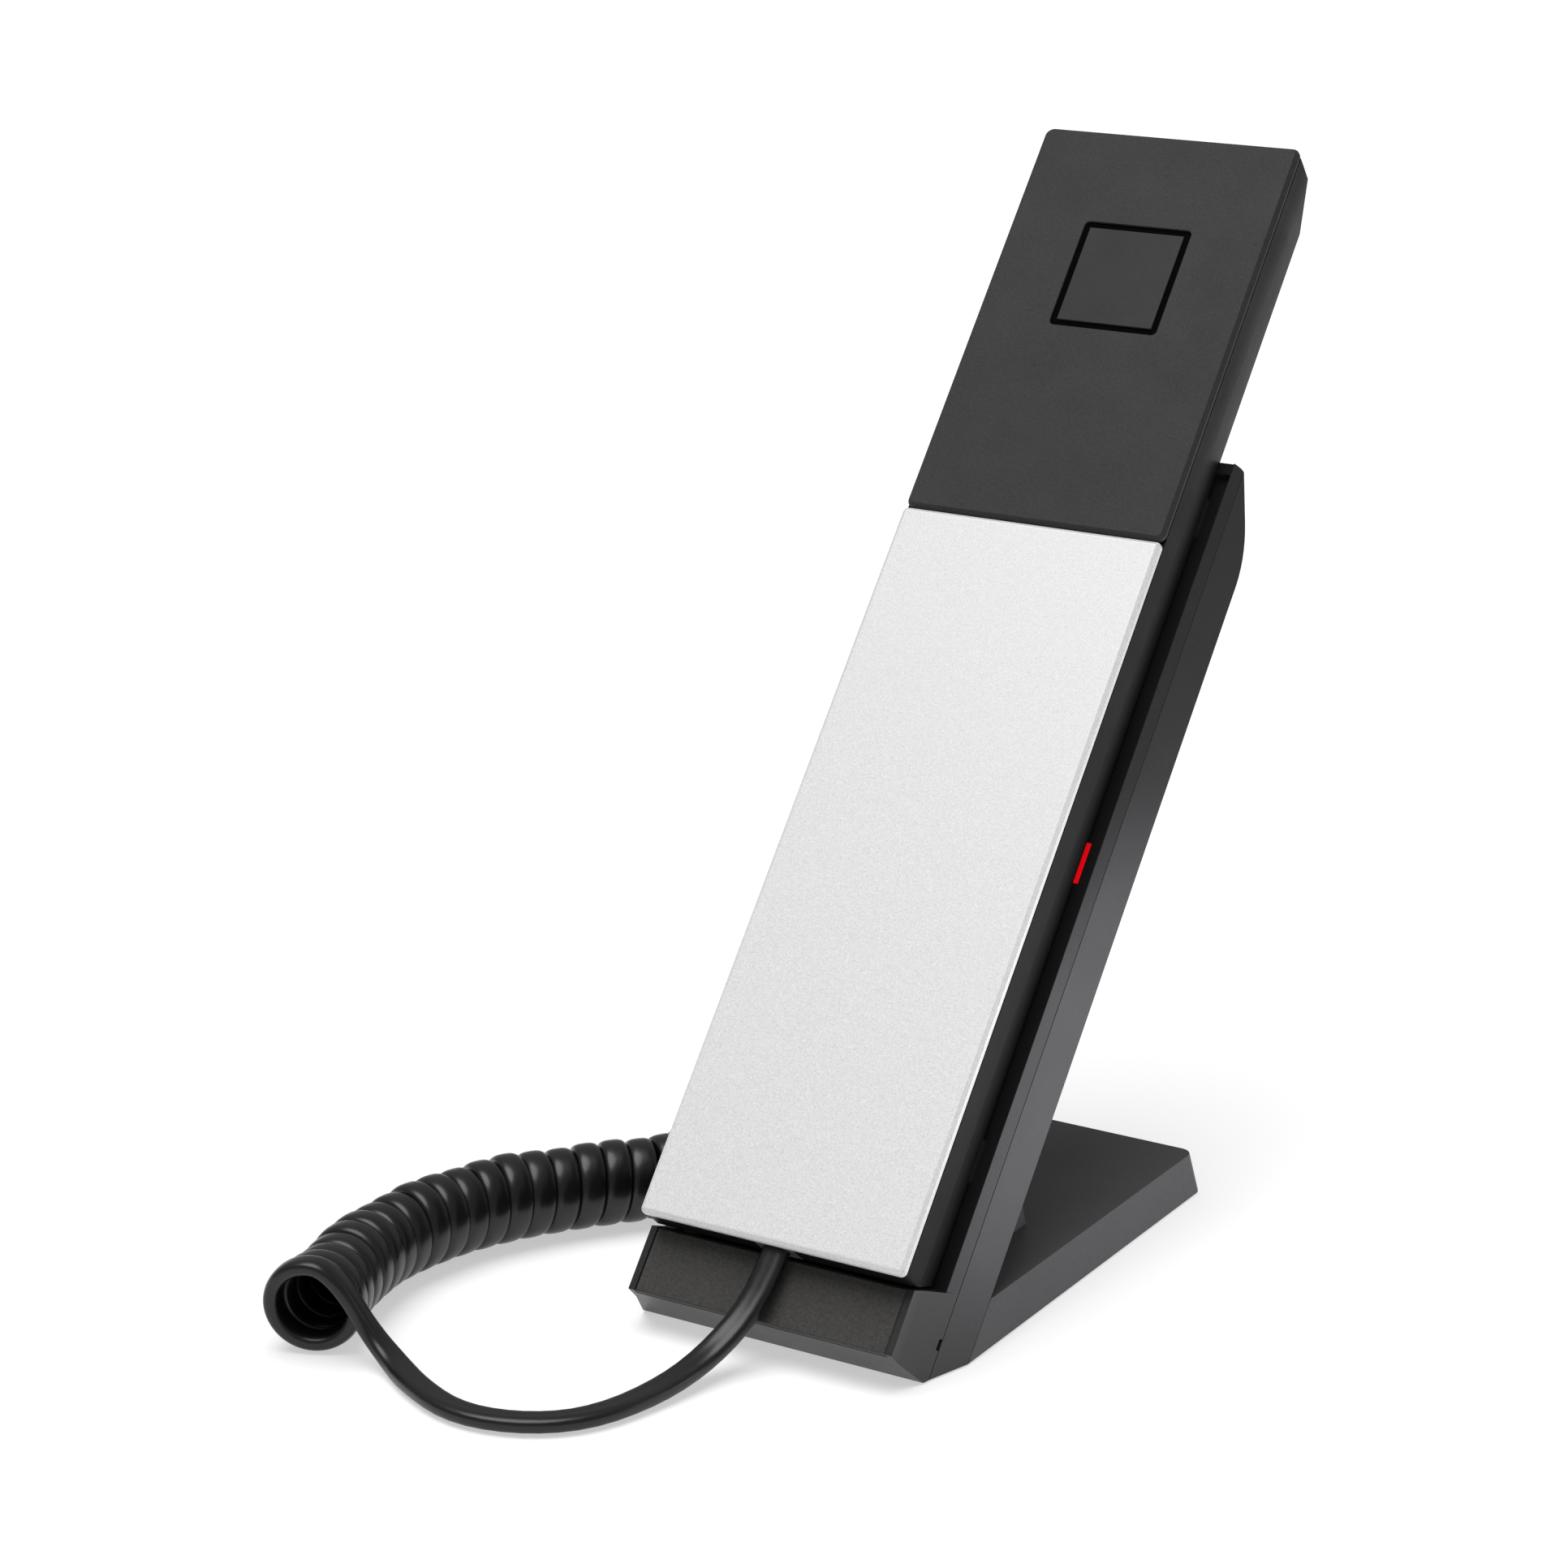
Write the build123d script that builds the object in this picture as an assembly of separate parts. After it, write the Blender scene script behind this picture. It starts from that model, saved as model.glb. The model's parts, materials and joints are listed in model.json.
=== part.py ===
from build123d import *
import math
import os

# Slim corded telephone: a flat handset resting in a leaning cradle with a low foot behind it.
# World frame: +X to the user's right, +Y away from the user, +Z up, origin on the table
# under the middle of the stand and handset.  Millimetres.
#
# Most pieces are modelled in the lean frame: u across, v up the slope, and depth measured
# backwards from the face of the handset.

# ---- driving sizes -------------------------------------------------------------------------
lean_angle = 50.5              # slope of the cradle above the table, degrees
handset_front_y = -69.5        # lower front edge of the handset
handset_front_z = 20.5

handset_width = 51.0
handset_length = 217.7
handset_depth = 14.3
cover_split = 136.9            # where the light lower cover meets the dark upper plate
cover_side = 1.4               # side of the two front covers, down to the parting line
cover_proud = 0.3              # the lower cover stands this much above the upper plate
cover_edge = 0.7               # bevel round the front covers
cover_gap = 0.12               # joint between neighbouring covers
parting_gap = 0.2              # joint between the covers and the back shell
shell_corner = 1.6             # rounding of the handset's four corners
lower_corner = 1.0             # rounding of the lower cover's corners
side_depth = 7.0               # where the square side turns into the back bevel
back_bevel = 1.5               # how far the back bevel draws in
top_bevel = 9.3                # how far the back of the top end is cut away
end_slope = 2.9                # how far the lower end leans back under the cover
shell_wall = 1.7

badge_width = 18.8
badge_height = 19.4
badge_middle = 187.6
badge_groove = 1.25
badge_depth = 0.8
badge_corner = 1.0
gasket_sink = 0.45

key_width = 11.6
key_height = 7.6
key_pitch_x = 15.0
key_pitch_y = 12.0
key_first_row = 80.0
key_corner = 1.2
key_gap = 0.3
key_proud = 0.9
key_travel = 0.7
key_flange = 1.0
key_flange_thick = 0.7
volume_key_width = 26.0
volume_key_row = 65.0

board_thick = 1.4
board_half_width = 14.4
board_head_gap = 15.7          # room above the stand's board, under the cradle's top
mat_thick = 1.3
mat_half_width = 22.0
speaker_radius = 12.6
speaker_middle = 190.0
speaker_thick = 6.0
mic_radius = 3.2
mic_middle = 16.5
mic_thick = 3.2
ear_hole = 1.1
ear_ring = 4.5                 # radius of the ring of holes in front of the speaker
mic_hole = 0.9
boss_radius = 3.0
boss_across = 18.0
boss_gap = 2.5                 # air between a boss and the wall behind it
lower_screws = 45.0            # places of the two pairs of screws along the handset
upper_screws = 152.0
screw_radius = 1.2
screw_head = 2.3
screw_clearance = 0.06
screw_end = 5.0                # tips of the handset's screws behind its face

panel_depth = 5.8              # face of the textured front panel behind the handset's face
panel_thick = 1.2
panel_frame = 1.3              # strip of the block left showing on each side of the panel
panel_gap = 0.08
panel_foot = -12.0             # lower edge of the panel, along the slope
panel_head = -0.4
block_side_depth = 9.2         # where the block's square side starts to flare
cradle_edge_half = 27.65       # half width at the parting of front and rear shell
cradle_back_half = 30.15
cradle_length = 161.0
shelf_rise = 2.75              # how far the shelf climbs from the panel to the recess
recess_clear = 2.2             # from the handset's back to the floor of the recess
recess_half = 26.4
lip_rise = 1.6                 # lips beside the handset, above the floor of the recess
lip_flat = 0.2
lip_drop = 2.35                # from the lips back to the widest edge
end_rim = 2.2                  # rim that closes the recess at the top end
end_rim_gap = 0.3              # the rim stays this much behind the lips
back_drop = 7.05               # from the widest edge back to the cradle's back face
floor_thick = 1.6
stand_wall = 2.0
wedge_drop = 13.3              # length of the bevel behind the cradle's top end
wedge_round = 25.0
shell_gap = 0.12
underside = 0.3                # plastic stays this far above the table; rubber feet reach it

foot_height = 9.3
foot_top_end = 32.4
foot_low_end = 37.0
foot_round = 2.5
foot_cavity_gap = 11.66        # from the cradle's back face to the foot's cavity, at the table
plate_thick = 1.6
rear_pad_radius = 5.0
front_pad_radius = 2.4
front_pad_y = -59.5
foot_pad_across = 20.0

housing_half = 20.2
housing_reach = 31.94          # how far the housing stands behind the cradle, at the foot
housing_top_reach = 0.19
housing_top = 35.2
jack_across = 9.0
jack_height = 14.0
jack_wall = 1.1
jack_gap = 5.57                # from the cradle's back face to the jacks
plug_half_width = 3.8
plug_half_height = 2.5
plug_length = 12.0
plug_clearance = 0.1
jack_room = 0.7                # air beside a plug in its jack
jack_room_high = 0.9
plug_offset = 0.7              # middle of the handset plug behind the middle of the cord

plunger_place = 40.0
plunger_radius = 3.0
plunger_clearance = 0.06
rest_gap = 0.3                 # air between the handset's back and what it leans on
rest_pad_foot = 26.0            # the lower pair of pads, up the slope
rest_pad_head = 11.0            # the upper pair, below the cradle's top end
rest_pad_width = 2.2
rest_pad_gap = 0.5              # room between a pad and the nearest key opening
lift_travel = 80.0
plunger_ratio = 0.025

lens_across = 23.15
lens_place = 82.0
lens_width = 1.2
lens_length = 7.6
lens_clearance = 0.05
notch_place = -5.8
notch_half = 1.0
notch_deep = 0.6

cord_round = 3.6               # round tube that stands for the flat cord
cord_depth = 3.6               # middle of the cord behind the handset's face, where it leaves
cord_drop = 8.6                # straight run out of the handset before the cord bends
plug_seat = 0.2                # end of the plug inside the handset's lower end
coil_outer = 15.5              # outside of the curly part

# Cord routes, chosen by hand.  The tail leaves the handset's lower end and runs to the coil.
tail_route = [
    (-3.4, -81.0, 4.4),
    (-5.4, -93.5, 2.4),
    (-9.6, -109.6, 2.2),
    (-24.5, -118.4, 2.2),
    (-41.0, -111.8, 2.3),
    (-53.0, -104.0, 4.4),
    (-60.0, -100.5, 8.5),
    (-66.5, -97.5, 8.5),
]
coil_route = [
    (-65.0, -106.0, 8.0),
    (-71.4, -89.0, 8.0),
    (-71.2, -70.0, 8.0),
    (-66.0, -53.5, 8.0),
    (-56.0, -38.5, 8.0),
    (-44.6, -25.0, 8.0),
    (-41.2, -7.0, 8.0),
    (-41.6, 12.0, 8.0),
    (-40.8, 30.0, 8.0),
]
lead_route = [
    (-41.0, 27.0, 8.0),
    (-41.6, 38.0, 6.4),
    (-37.0, 50.0, 4.6),
    (-25.0, 54.5, 8.2),
    (-14.5, 45.0, 13.6),
    (-9.8, 28.0, 13.2),
    (-9.0, 10.0, 12.6),
    (-9.2, -5.0, 13.4),
]

# ---- frame and small helpers ----------------------------------------------------------------
lean = math.radians(lean_angle)
half = handset_width / 2
recess_depth = handset_depth + recess_clear
lip_depth = recess_depth - lip_rise
cradle_edge_depth = lip_depth + lip_drop
cradle_back_depth = cradle_edge_depth + back_drop
lean_frame = Plane(
    origin=(0, handset_front_y, handset_front_z),
    x_dir=(1, 0, 0),
    z_dir=(0, -math.sin(lean), math.cos(lean)),
)
os.makedirs("parts", exist_ok=True)


def save(node, shape, leaning=True):
    """Write one node; leaning pieces are turned from the lean frame into the world."""
    placed = lean_frame.location * shape if leaning else shape
    solids = placed.solids()
    export_step(solids[0] if len(solids) == 1 else Compound(children=list(solids)), f"parts/{node}.step")
    return placed


def block(u0, u1, v0, v1, d0, d1):
    """A box in the lean frame, given by its spans across, up the slope and in depth."""
    return Pos((u0 + u1) / 2, (v0 + v1) / 2, -(d0 + d1) / 2) * Box(u1 - u0, v1 - v0, d1 - d0)


def along_slope(points, v0, v1):
    """Extrude an outline of (across, depth) points from v0 to v1."""
    plane = Plane(origin=(0, v0, 0), x_dir=(1, 0, 0), z_dir=(0, 1, 0))
    return extrude(plane * make_face(Polyline(*points, close=True)), v1 - v0)


def across(points, half_width):
    """Extrude an outline of (up the slope, depth) points over both sides of the middle."""
    flat = [(v, -d) for v, d in points]
    plane = Plane(origin=(0, 0, 0), x_dir=(0, 1, 0), z_dir=(1, 0, 0))
    return extrude(plane * make_face(Polyline(*flat, close=True)), half_width, both=True)


def mirrored(points):
    """Close a half outline of (across, depth) points with its mirror image."""
    return points + [(-u, d) for u, d in reversed(points)]


def pin(u, v, d0, d1, radius):
    """A cylinder along the depth direction."""
    return Pos(u, v, -(d0 + d1) / 2) * Cylinder(radius, d1 - d0)


def world_box(x0, x1, y0, y1, z0, z1):
    return Pos((x0 + x1) / 2, (y0 + y1) / 2, (z0 + z1) / 2) * Box(x1 - x0, y1 - y0, z1 - z0)


def side_profile(points, half_width):
    """Extrude an outline of world (y, z) points over both sides of the middle."""
    plane = Plane(origin=(0, 0, 0), x_dir=(0, 1, 0), z_dir=(1, 0, 0))
    return extrude(plane * make_face(Polyline(*points, close=True)), half_width, both=True)


def above(height):
    """Everything above a height over the table, in the lean frame."""
    return lean_frame.location.inverse() * world_box(-90, 90, -150, 150, height, height + 300)


def rounded_block(u0, u1, v0, v1, d0, d1, radius):
    """A box in the lean frame with its four edges along the depth rounded."""
    shape = block(u0, u1, v0, v1, d0, d1)
    return fillet(shape.edges().filter_by(Axis.Z), radius)


def behind_cradle(height):
    """World Y of the cradle's back face at a height over the table."""
    slope_run = height - handset_front_z + cradle_back_depth * math.cos(lean)
    return handset_front_y + slope_run / math.tan(lean) + cradle_back_depth * math.sin(lean)


def cord_tube(name, points, diameter):
    """A round tube along straight runs joined by the largest tangent arcs that fit."""
    spots = [Vector(*point) for point in points]
    radii = []
    for before, here, after in zip(spots, spots[1:], spots[2:]):
        turn = math.radians((here - before).get_angle(after - here))
        run = min((here - before).length, (after - here).length)
        radii.append(0.45 * run / math.tan(turn / 2))
    path = FilletPolyline(*spots, radius=radii)
    start = Plane(origin=spots[0], z_dir=spots[1] - spots[0])
    tube = sweep(start * Circle(diameter / 2), path=path)
    straight_volume = path.length * math.pi * diameter ** 2 / 4
    print(name, "radii", [round(radius, 1) for radius in radii])
    print(name, "length", round(path.length, 1), "volume ratio", round(tube.volume / straight_volume, 4))
    return tube


# ---- handset --------------------------------------------------------------------------------
def front_cover(v0, v1, proud, corner):
    """One front cover: a plate with a bevelled edge."""
    plate = rounded_block(-half, half, v0, v1, -proud, cover_side, corner)
    return chamfer(plate.faces().sort_by(Axis.Z)[-1].edges(), cover_edge)


def cover_bosses(v):
    """Two bored screw posts behind a cover."""
    bosses = [pin(side * boss_across, v, cover_side, boss_end, boss_radius) for side in (-1, 1)]
    bores = [pin(side * boss_across, v, cover_side + 1.5, boss_end, screw_radius) for side in (-1, 1)]
    return [boss - bore for boss, bore in zip(bosses, bores)]


boss_end = handset_depth - shell_wall - boss_gap
upper_plate = front_cover(cover_split + cover_gap, handset_length, 0, shell_corner)
upper_plate += cover_bosses(upper_screws)
badge_u = badge_width / 2 + badge_groove
badge_v = badge_height / 2 + badge_groove
pocket_span = (-badge_u, badge_u, badge_middle - badge_v, badge_middle + badge_v)
upper_plate -= rounded_block(*pocket_span, -1, badge_depth, badge_corner)
save("handset_upper_plate", upper_plate)

lower_cover = front_cover(0, cover_split - cover_gap, cover_proud, lower_corner)
lower_cover += cover_bosses(lower_screws)
save("handset_lower_cover", lower_cover)

badge_span = (
    -badge_width / 2, badge_width / 2,
    badge_middle - badge_height / 2, badge_middle + badge_height / 2,
)
save("badge_plate", block(*badge_span, 0.05, badge_depth))
gasket = rounded_block(*pocket_span, gasket_sink, badge_depth, badge_corner)
gasket -= block(*badge_span, -1, 2)
save("badge_gasket", gasket)

back_top = handset_length - top_bevel
shell = along_slope(
    mirrored([
        (half, cover_side + parting_gap),
        (half, side_depth),
        (half - back_bevel, handset_depth),
    ]),
    -1,
    handset_length + 1,
)
shell &= across(
    [
        (0.15, 0),
        (0.15, side_depth - 1),
        (0.15 + end_slope, handset_depth + 0.1),
        (back_top - 0.1, handset_depth + 0.1),
        (handset_length - 2.1, side_depth),
        (handset_length - 0.9, 0),
    ],
    half + 1,
)
shell &= rounded_block(-half, half, 0, handset_length, -1, handset_depth + 1, shell_corner)
inner_half = half - shell_wall
shell -= block(-inner_half, inner_half, 2.2, handset_length - 4.4, 0, side_depth)
shell -= block(
    -inner_half + 1.2, inner_half - 1.2, 5.0, back_top - 3.4, side_depth - 1, handset_depth - shell_wall
)


def key_hole(u, v, width):
    """The opening for one key."""
    across_half = width / 2 + key_gap
    along_half = key_height / 2 + key_gap
    return rounded_block(
        u - across_half, u + across_half, v - along_half, v + along_half,
        handset_depth - shell_wall - 1, handset_depth + 1, key_corner + key_gap,
    )


key_places = {}
digits = ["1", "2", "3", "4", "5", "6", "7", "8", "9", "star", "0", "hash"]
for index, digit in enumerate(digits):
    row = 3 - index // 3
    # the keypad faces away from the front, so its left column is on the +X side
    column = 1 - index % 3
    key_places[f"key_{digit}"] = (column * key_pitch_x, key_first_row + row * key_pitch_y, key_width)
for index, name in enumerate(["flash", "redial", "mute"]):
    key_places[f"key_{name}"] = ((1 - index) * key_pitch_x, key_first_row + 4 * key_pitch_y, key_width)
key_places["key_volume"] = (0.0, volume_key_row, volume_key_width)

for u, v, width in key_places.values():
    shell -= key_hole(u, v, width)
inner_face = handset_depth - shell_wall
shell -= pin(0, speaker_middle, inner_face - 1, handset_depth + 1, ear_hole)
for index in range(6):
    spoke = math.radians(60 * index)
    hole_u = ear_ring * math.cos(spoke)
    hole_v = speaker_middle + ear_ring * math.sin(spoke)
    shell -= pin(hole_u, hole_v, inner_face - 1, handset_depth + 1, ear_hole)
shell -= pin(0, mic_middle, inner_face - 1, handset_depth + 1, mic_hole)
for v in (lower_screws, upper_screws):
    for side in (-1, 1):
        shell -= pin(side * boss_across, v, 10, handset_depth + 1, screw_radius + screw_clearance)
        shell -= pin(side * boss_across, v, handset_depth - 1.1, handset_depth + 1, screw_head + 0.1)
plug_opening = plug_half_width + plug_clearance
plug_middle = cord_depth + plug_offset
opening_half = plug_half_height + plug_clearance
shell -= block(-plug_opening, plug_opening, -1, 4, plug_middle - opening_half, plug_middle + opening_half)
save("handset_back_shell", shell)

key_top = handset_depth + key_proud
flange_back = inner_face - key_gap
flange_front = flange_back - key_flange_thick
for name, (u, v, width) in key_places.items():
    cap = rounded_block(
        u - width / 2, u + width / 2, v - key_height / 2, v + key_height / 2,
        flange_front, key_top, key_corner,
    )
    cap = chamfer(cap.faces().sort_by(Axis.Z)[0].edges(), 0.35)
    cap += block(
        u - width / 2 - key_flange, u + width / 2 + key_flange,
        v - key_height / 2 - key_flange, v + key_height / 2 + key_flange,
        flange_front, flange_back,
    )
    save(name, cap)

mat_back = flange_front - key_travel - 0.3
mat_front = mat_back - mat_thick
board_front = mat_front - board_thick
save("keypad_mat", block(-mat_half_width, mat_half_width, 58, 137, mat_front, mat_back))
board = block(-board_half_width, board_half_width, 24, 172, board_front, mat_front)
save("handset_board", board)
save("handset_weight", block(-14, 14, 60, 130, 2.2, board_front - 0.6))
save("earpiece_speaker", pin(0, speaker_middle, inner_face - speaker_thick, inner_face, speaker_radius))
save("microphone", pin(0, mic_middle, inner_face - mic_thick, inner_face, mic_radius))
handset_screws = []
for v in (lower_screws, upper_screws):
    for side in (-1, 1):
        handset_screws.append(
            pin(side * boss_across, v, screw_end, handset_depth - 0.3, screw_radius)
            + pin(side * boss_across, v, handset_depth - 1.0, handset_depth - 0.3, screw_head)
        )
save("handset_screws", Compound(children=handset_screws))

plug = block(
    -plug_half_width, plug_half_width, plug_seat, plug_length,
    plug_middle - plug_half_height, plug_middle + plug_half_height,
)
plug = chamfer(plug.faces().sort_by(Axis.Y)[-1].edges(), 0.5)
save("handset_plug", plug)
jack = block(
    -plug_half_width - 1.4, plug_half_width + 1.4, 5.1, plug_length + 2,
    cover_side + 0.2, plug_middle + plug_half_height + 1.2,
)
jack -= block(
    -plug_opening, plug_opening, 0, plug_length + 0.1,
    cover_side - 1, plug_middle + plug_half_height + plug_clearance,
)
save("handset_jack", jack)

# ---- cradle ---------------------------------------------------------------------------------
front_outline = [
    (half, panel_depth),
    (half, block_side_depth),
    (cradle_edge_half, cradle_edge_depth),
]
shelf = [
    (-80, 0),
    (panel_head - 0.05, 0),
    (panel_head - 0.05, panel_depth),
    (panel_head + shelf_rise + 0.8, recess_depth + 0.1),
    (panel_head + shelf_rise + 0.8, 40),
    (-80, 40),
]
ground_edge = [
    (panel_foot, panel_depth),
    (panel_foot - 0.8, cradle_edge_depth - 0.4),
    (panel_foot - 40, cradle_edge_depth - 0.4),
    (panel_foot - 40, 60),
    (260, 60),
    (260, panel_depth),
]
block_solid = along_slope(mirrored(front_outline), -40, 30)
block_solid &= across(shelf, cradle_back_half + 5)
block_solid &= across(ground_edge, cradle_back_half + 5)
panel_half = half - panel_frame
block_solid -= block(
    -panel_half - panel_gap, panel_half + panel_gap, panel_foot - 2, panel_head + 2,
    panel_depth - 1, panel_depth + panel_thick,
)
block_solid -= along_slope(
    mirrored([
        (half - stand_wall, panel_depth + panel_thick + stand_wall),
        (half - stand_wall, block_side_depth),
        (cradle_edge_half - stand_wall, cradle_edge_depth + 1),
    ]),
    panel_foot + stand_wall,
    panel_head - stand_wall,
)
lips = along_slope(
    [
        (recess_half, lip_depth),
        (recess_half + lip_flat, lip_depth),
        (cradle_edge_half, cradle_edge_depth),
        (recess_half, cradle_edge_depth),
    ],
    -4,
    cradle_length,
)
lips += mirror(lips, Plane.YZ)
floor_half = cradle_edge_half - stand_wall - 0.1
recess_floor = along_slope(
    mirrored([
        (recess_half + 0.2, recess_depth),
        (recess_half + 0.2, cradle_edge_depth),
        (floor_half, cradle_edge_depth),
        (floor_half, recess_depth + floor_thick),
    ]),
    -2,
    cradle_length,
)
rim = block(
    -recess_half - 0.2, recess_half + 0.2, cradle_length - end_rim, cradle_length,
    lip_depth + end_rim_gap, cradle_edge_depth,
)
front_shell = block_solid + lips + recess_floor + rim
front_shell &= across(
    [
        (-60, -5),
        (cradle_length + 0.4, -5),
        (cradle_length + 0.4, lip_depth),
        (cradle_length - 0.9, 20),
        (-60, 20),
    ],
    60,
)
front_shell -= pin(0, plunger_place, recess_depth - 1, recess_depth + 3, plunger_radius + plunger_clearance)
slot_u = lens_width / 2 + lens_clearance
slot_v = lens_length / 2 + lens_clearance
front_shell -= block(
    lens_across - slot_u, lens_across + slot_u, lens_place - slot_v, lens_place + slot_v,
    recess_depth - 1, recess_depth + 3,
)
# the pry notch on each side edge, near the table
for side in (-1, 1):
    front_shell -= block(
        side * cradle_edge_half - notch_deep, side * cradle_edge_half + notch_deep,
        notch_place - notch_half, notch_place + notch_half, cradle_edge_depth - 0.7, cradle_edge_depth + 1,
    )
front_shell &= above(underside)
save("cradle_front_shell", front_shell)

panel = block(
    -panel_half, panel_half, panel_foot, panel_head - panel_gap, panel_depth, panel_depth + panel_thick
)
panel = chamfer(panel.faces().sort_by(Axis.Z)[-1].edges(), 0.25)
save("front_panel", panel)

rear_front = cradle_edge_depth + shell_gap
rear_shell = along_slope(
    mirrored([(cradle_edge_half, rear_front), (cradle_back_half, cradle_back_depth)]), -60, cradle_length
)
wedge = across(
    [
        (-80, rear_front - 1),
        (cradle_length - 0.2, rear_front - 1),
        (cradle_length - 0.2, rear_front),
        (cradle_length - 0.2 - wedge_drop, cradle_back_depth),
        (-80, cradle_back_depth),
    ],
    40,
)
wedge_line = wedge.edges().filter_by(Axis.X).sort_by(Axis.Z)[0:2].sort_by(Axis.Y)[-1]
wedge = fillet(wedge_line, wedge_round)
rear_shell &= wedge
cavity_top = cradle_length - wedge_drop - 2 * stand_wall
rear_shell -= along_slope(
    mirrored([
        (cradle_edge_half - stand_wall, rear_front - 1),
        (cradle_back_half - stand_wall - 0.8, cradle_back_depth - stand_wall),
    ]),
    -60,
    cavity_top,
) & above(underside + stand_wall)
rear_shell -= block(
    -floor_half - 0.1, floor_half + 0.1, cavity_top - 1, cradle_length + 1,
    rear_front - 1, recess_depth + floor_thick + 0.02,
)
rear_shell &= above(underside)
save("cradle_rear_shell", rear_shell)

pads = []
pad_across = key_pitch_x + key_width / 2 + key_gap + rest_pad_gap + rest_pad_width / 2
for v in (rest_pad_foot, cradle_length - rest_pad_head):
    for side in (-1, 1):
        middle = side * pad_across
        pads.append(rounded_block(
            middle - rest_pad_width / 2, middle + rest_pad_width / 2, v - 4, v + 4,
            handset_depth + rest_gap, recess_depth, 0.8,
        ))
save("rest_pads", Compound(children=pads))

lens = block(
    lens_across - lens_width / 2, lens_across + lens_width / 2,
    lens_place - lens_length / 2, lens_place + lens_length / 2,
    recess_depth - 0.15, recess_depth + floor_thick + 0.4,
)
save("message_lens", lens)
led_front = recess_depth + floor_thick + 0.4
led_back = led_front + 0.9
led = block(lens_across - 0.9, lens_across + 0.9, lens_place - 2, lens_place + 2, led_front, led_back)
save("message_led", led)
base_board = block(
    -21, lens_across + 1.45, 56, cavity_top - board_head_gap, led_back, led_back + board_thick
)
save("base_board", base_board)

plunger_tip = handset_depth + rest_gap
flange_top = recess_depth + floor_thick + lift_travel * plunger_ratio + 0.3
plunger = pin(0, plunger_place, plunger_tip, flange_top + 0.8, plunger_radius)
plunger = chamfer(plunger.faces().sort_by(Axis.Z)[-1].edges(), 0.6)
plunger += pin(0, plunger_place, flange_top, flange_top + 0.8, plunger_radius + 2)
save("hook_plunger", plunger)
spring_front = flange_top + 0.8 + rest_gap
spring = block(-2.5, 2.5, plunger_place - 5, plunger_place + 14, spring_front, spring_front + 0.3)
save("hook_leaf_spring", spring)
switch_front = recess_depth + floor_thick + 0.3
switch = block(
    plunger_radius + 3.2, plunger_radius + 12.2, plunger_place - 6, plunger_place + 6,
    switch_front, switch_front + 3.2,
)
save("hook_switch", switch)

# ---- foot -----------------------------------------------------------------------------------
cradle_space = lean_frame.location * block(-70, 70, -90, 260, -60, cradle_back_depth + shell_gap)
foot = side_profile(
    [(-90, underside), (foot_low_end, underside), (foot_top_end, foot_height), (-90, foot_height)],
    cradle_back_half,
)
# the two slanting corners of the rear face
end_edges = foot.edges().sort_by(Axis.Y)[-4:]
foot = fillet([edge for edge in end_edges if abs(edge.tangent_at(0).X) < 0.1], foot_round)
foot -= cradle_space
cavity_half = cradle_back_half - stand_wall
cavity_front = behind_cradle(underside) + foot_cavity_gap
cavity_end = foot_top_end - stand_wall
foot -= world_box(-cavity_half, cavity_half, cavity_front, cavity_end, -1, foot_height - stand_wall)
screw_rows = (cavity_front + 7.0, cavity_end - 6.4)
screw_spots = [(x, y) for y in screw_rows for x in (-22.0, 22.0)]
base_low = underside + 0.7
base_top = base_low + plate_thick
post_height = foot_height - stand_wall - base_top
for x, y in screw_spots:
    foot += Pos(x, y, base_top + post_height / 2) * Cylinder(3.2, post_height)
    foot -= Pos(x, y, base_top + 2) * Cylinder(1.4, 4.0)
save("foot_shell", foot, leaning=False)

base_plate = world_box(
    -cavity_half + 0.1, cavity_half - 0.1, cavity_front + 0.1, cavity_end - 0.1, base_low, base_top
)
for x, y in screw_spots:
    base_plate -= Pos(x, y, 0) * Cylinder(1.4 + screw_clearance, 12)
    base_plate -= Pos(x, y, base_low) * Cylinder(2.7, 1.6)
save("foot_base_plate", base_plate, leaning=False)
screw_low = base_low + 0.15
foot_screws = [
    Pos(x, y, screw_low + 2.6) * Cylinder(1.4, 5.2) + Pos(x, y, screw_low + 0.3) * Cylinder(2.6, 0.6)
    for x, y in screw_spots
]
save("foot_screws", Compound(children=foot_screws), leaning=False)
ballast = world_box(-17, 17, cavity_front + 5, cavity_end - 2.4, base_top, base_top + 4.0)
save("foot_ballast", ballast, leaning=False)

rear_pads = [
    Pos(x, y, base_low / 2) * Cylinder(rear_pad_radius, base_low)
    for x in (-foot_pad_across, foot_pad_across)
    for y in (-26.0, 14.0)
]
save("rear_rubber_feet", Compound(children=rear_pads), leaning=False)
front_pads = [
    Pos(x, front_pad_y, underside / 2) * Cylinder(front_pad_radius, underside)
    for x in (-foot_pad_across, foot_pad_across)
]
save("front_rubber_feet", Compound(children=front_pads), leaning=False)

# ---- housing behind the cradle, with the two jacks ------------------------------------------
housing_end = behind_cradle(foot_height) + housing_reach
housing_top_y = behind_cradle(housing_top) + housing_top_reach
housing = side_profile(
    [
        (-60, foot_height + 0.05),
        (housing_end, foot_height + 0.05),
        (housing_top_y, housing_top),
        (-60, housing_top),
    ],
    housing_half,
)
housing -= cradle_space
inside = side_profile(
    [
        (-60, foot_height - 1),
        (housing_end - 1.8, foot_height - 1),
        (housing_top_y - 0.8, housing_top - 2 * stand_wall),
        (-60, housing_top - 2 * stand_wall),
    ],
    housing_half - stand_wall,
)
inside -= lean_frame.location * block(-70, 70, -90, 260, -60, cradle_back_depth + 1.6)
housing -= inside
jack_low = foot_height + 0.1
jack_top = 2 * jack_height - jack_low
jack_back = behind_cradle(jack_top) + jack_gap
socket_half = plug_half_width + jack_room
socket_high = plug_half_height + jack_room_high
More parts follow.
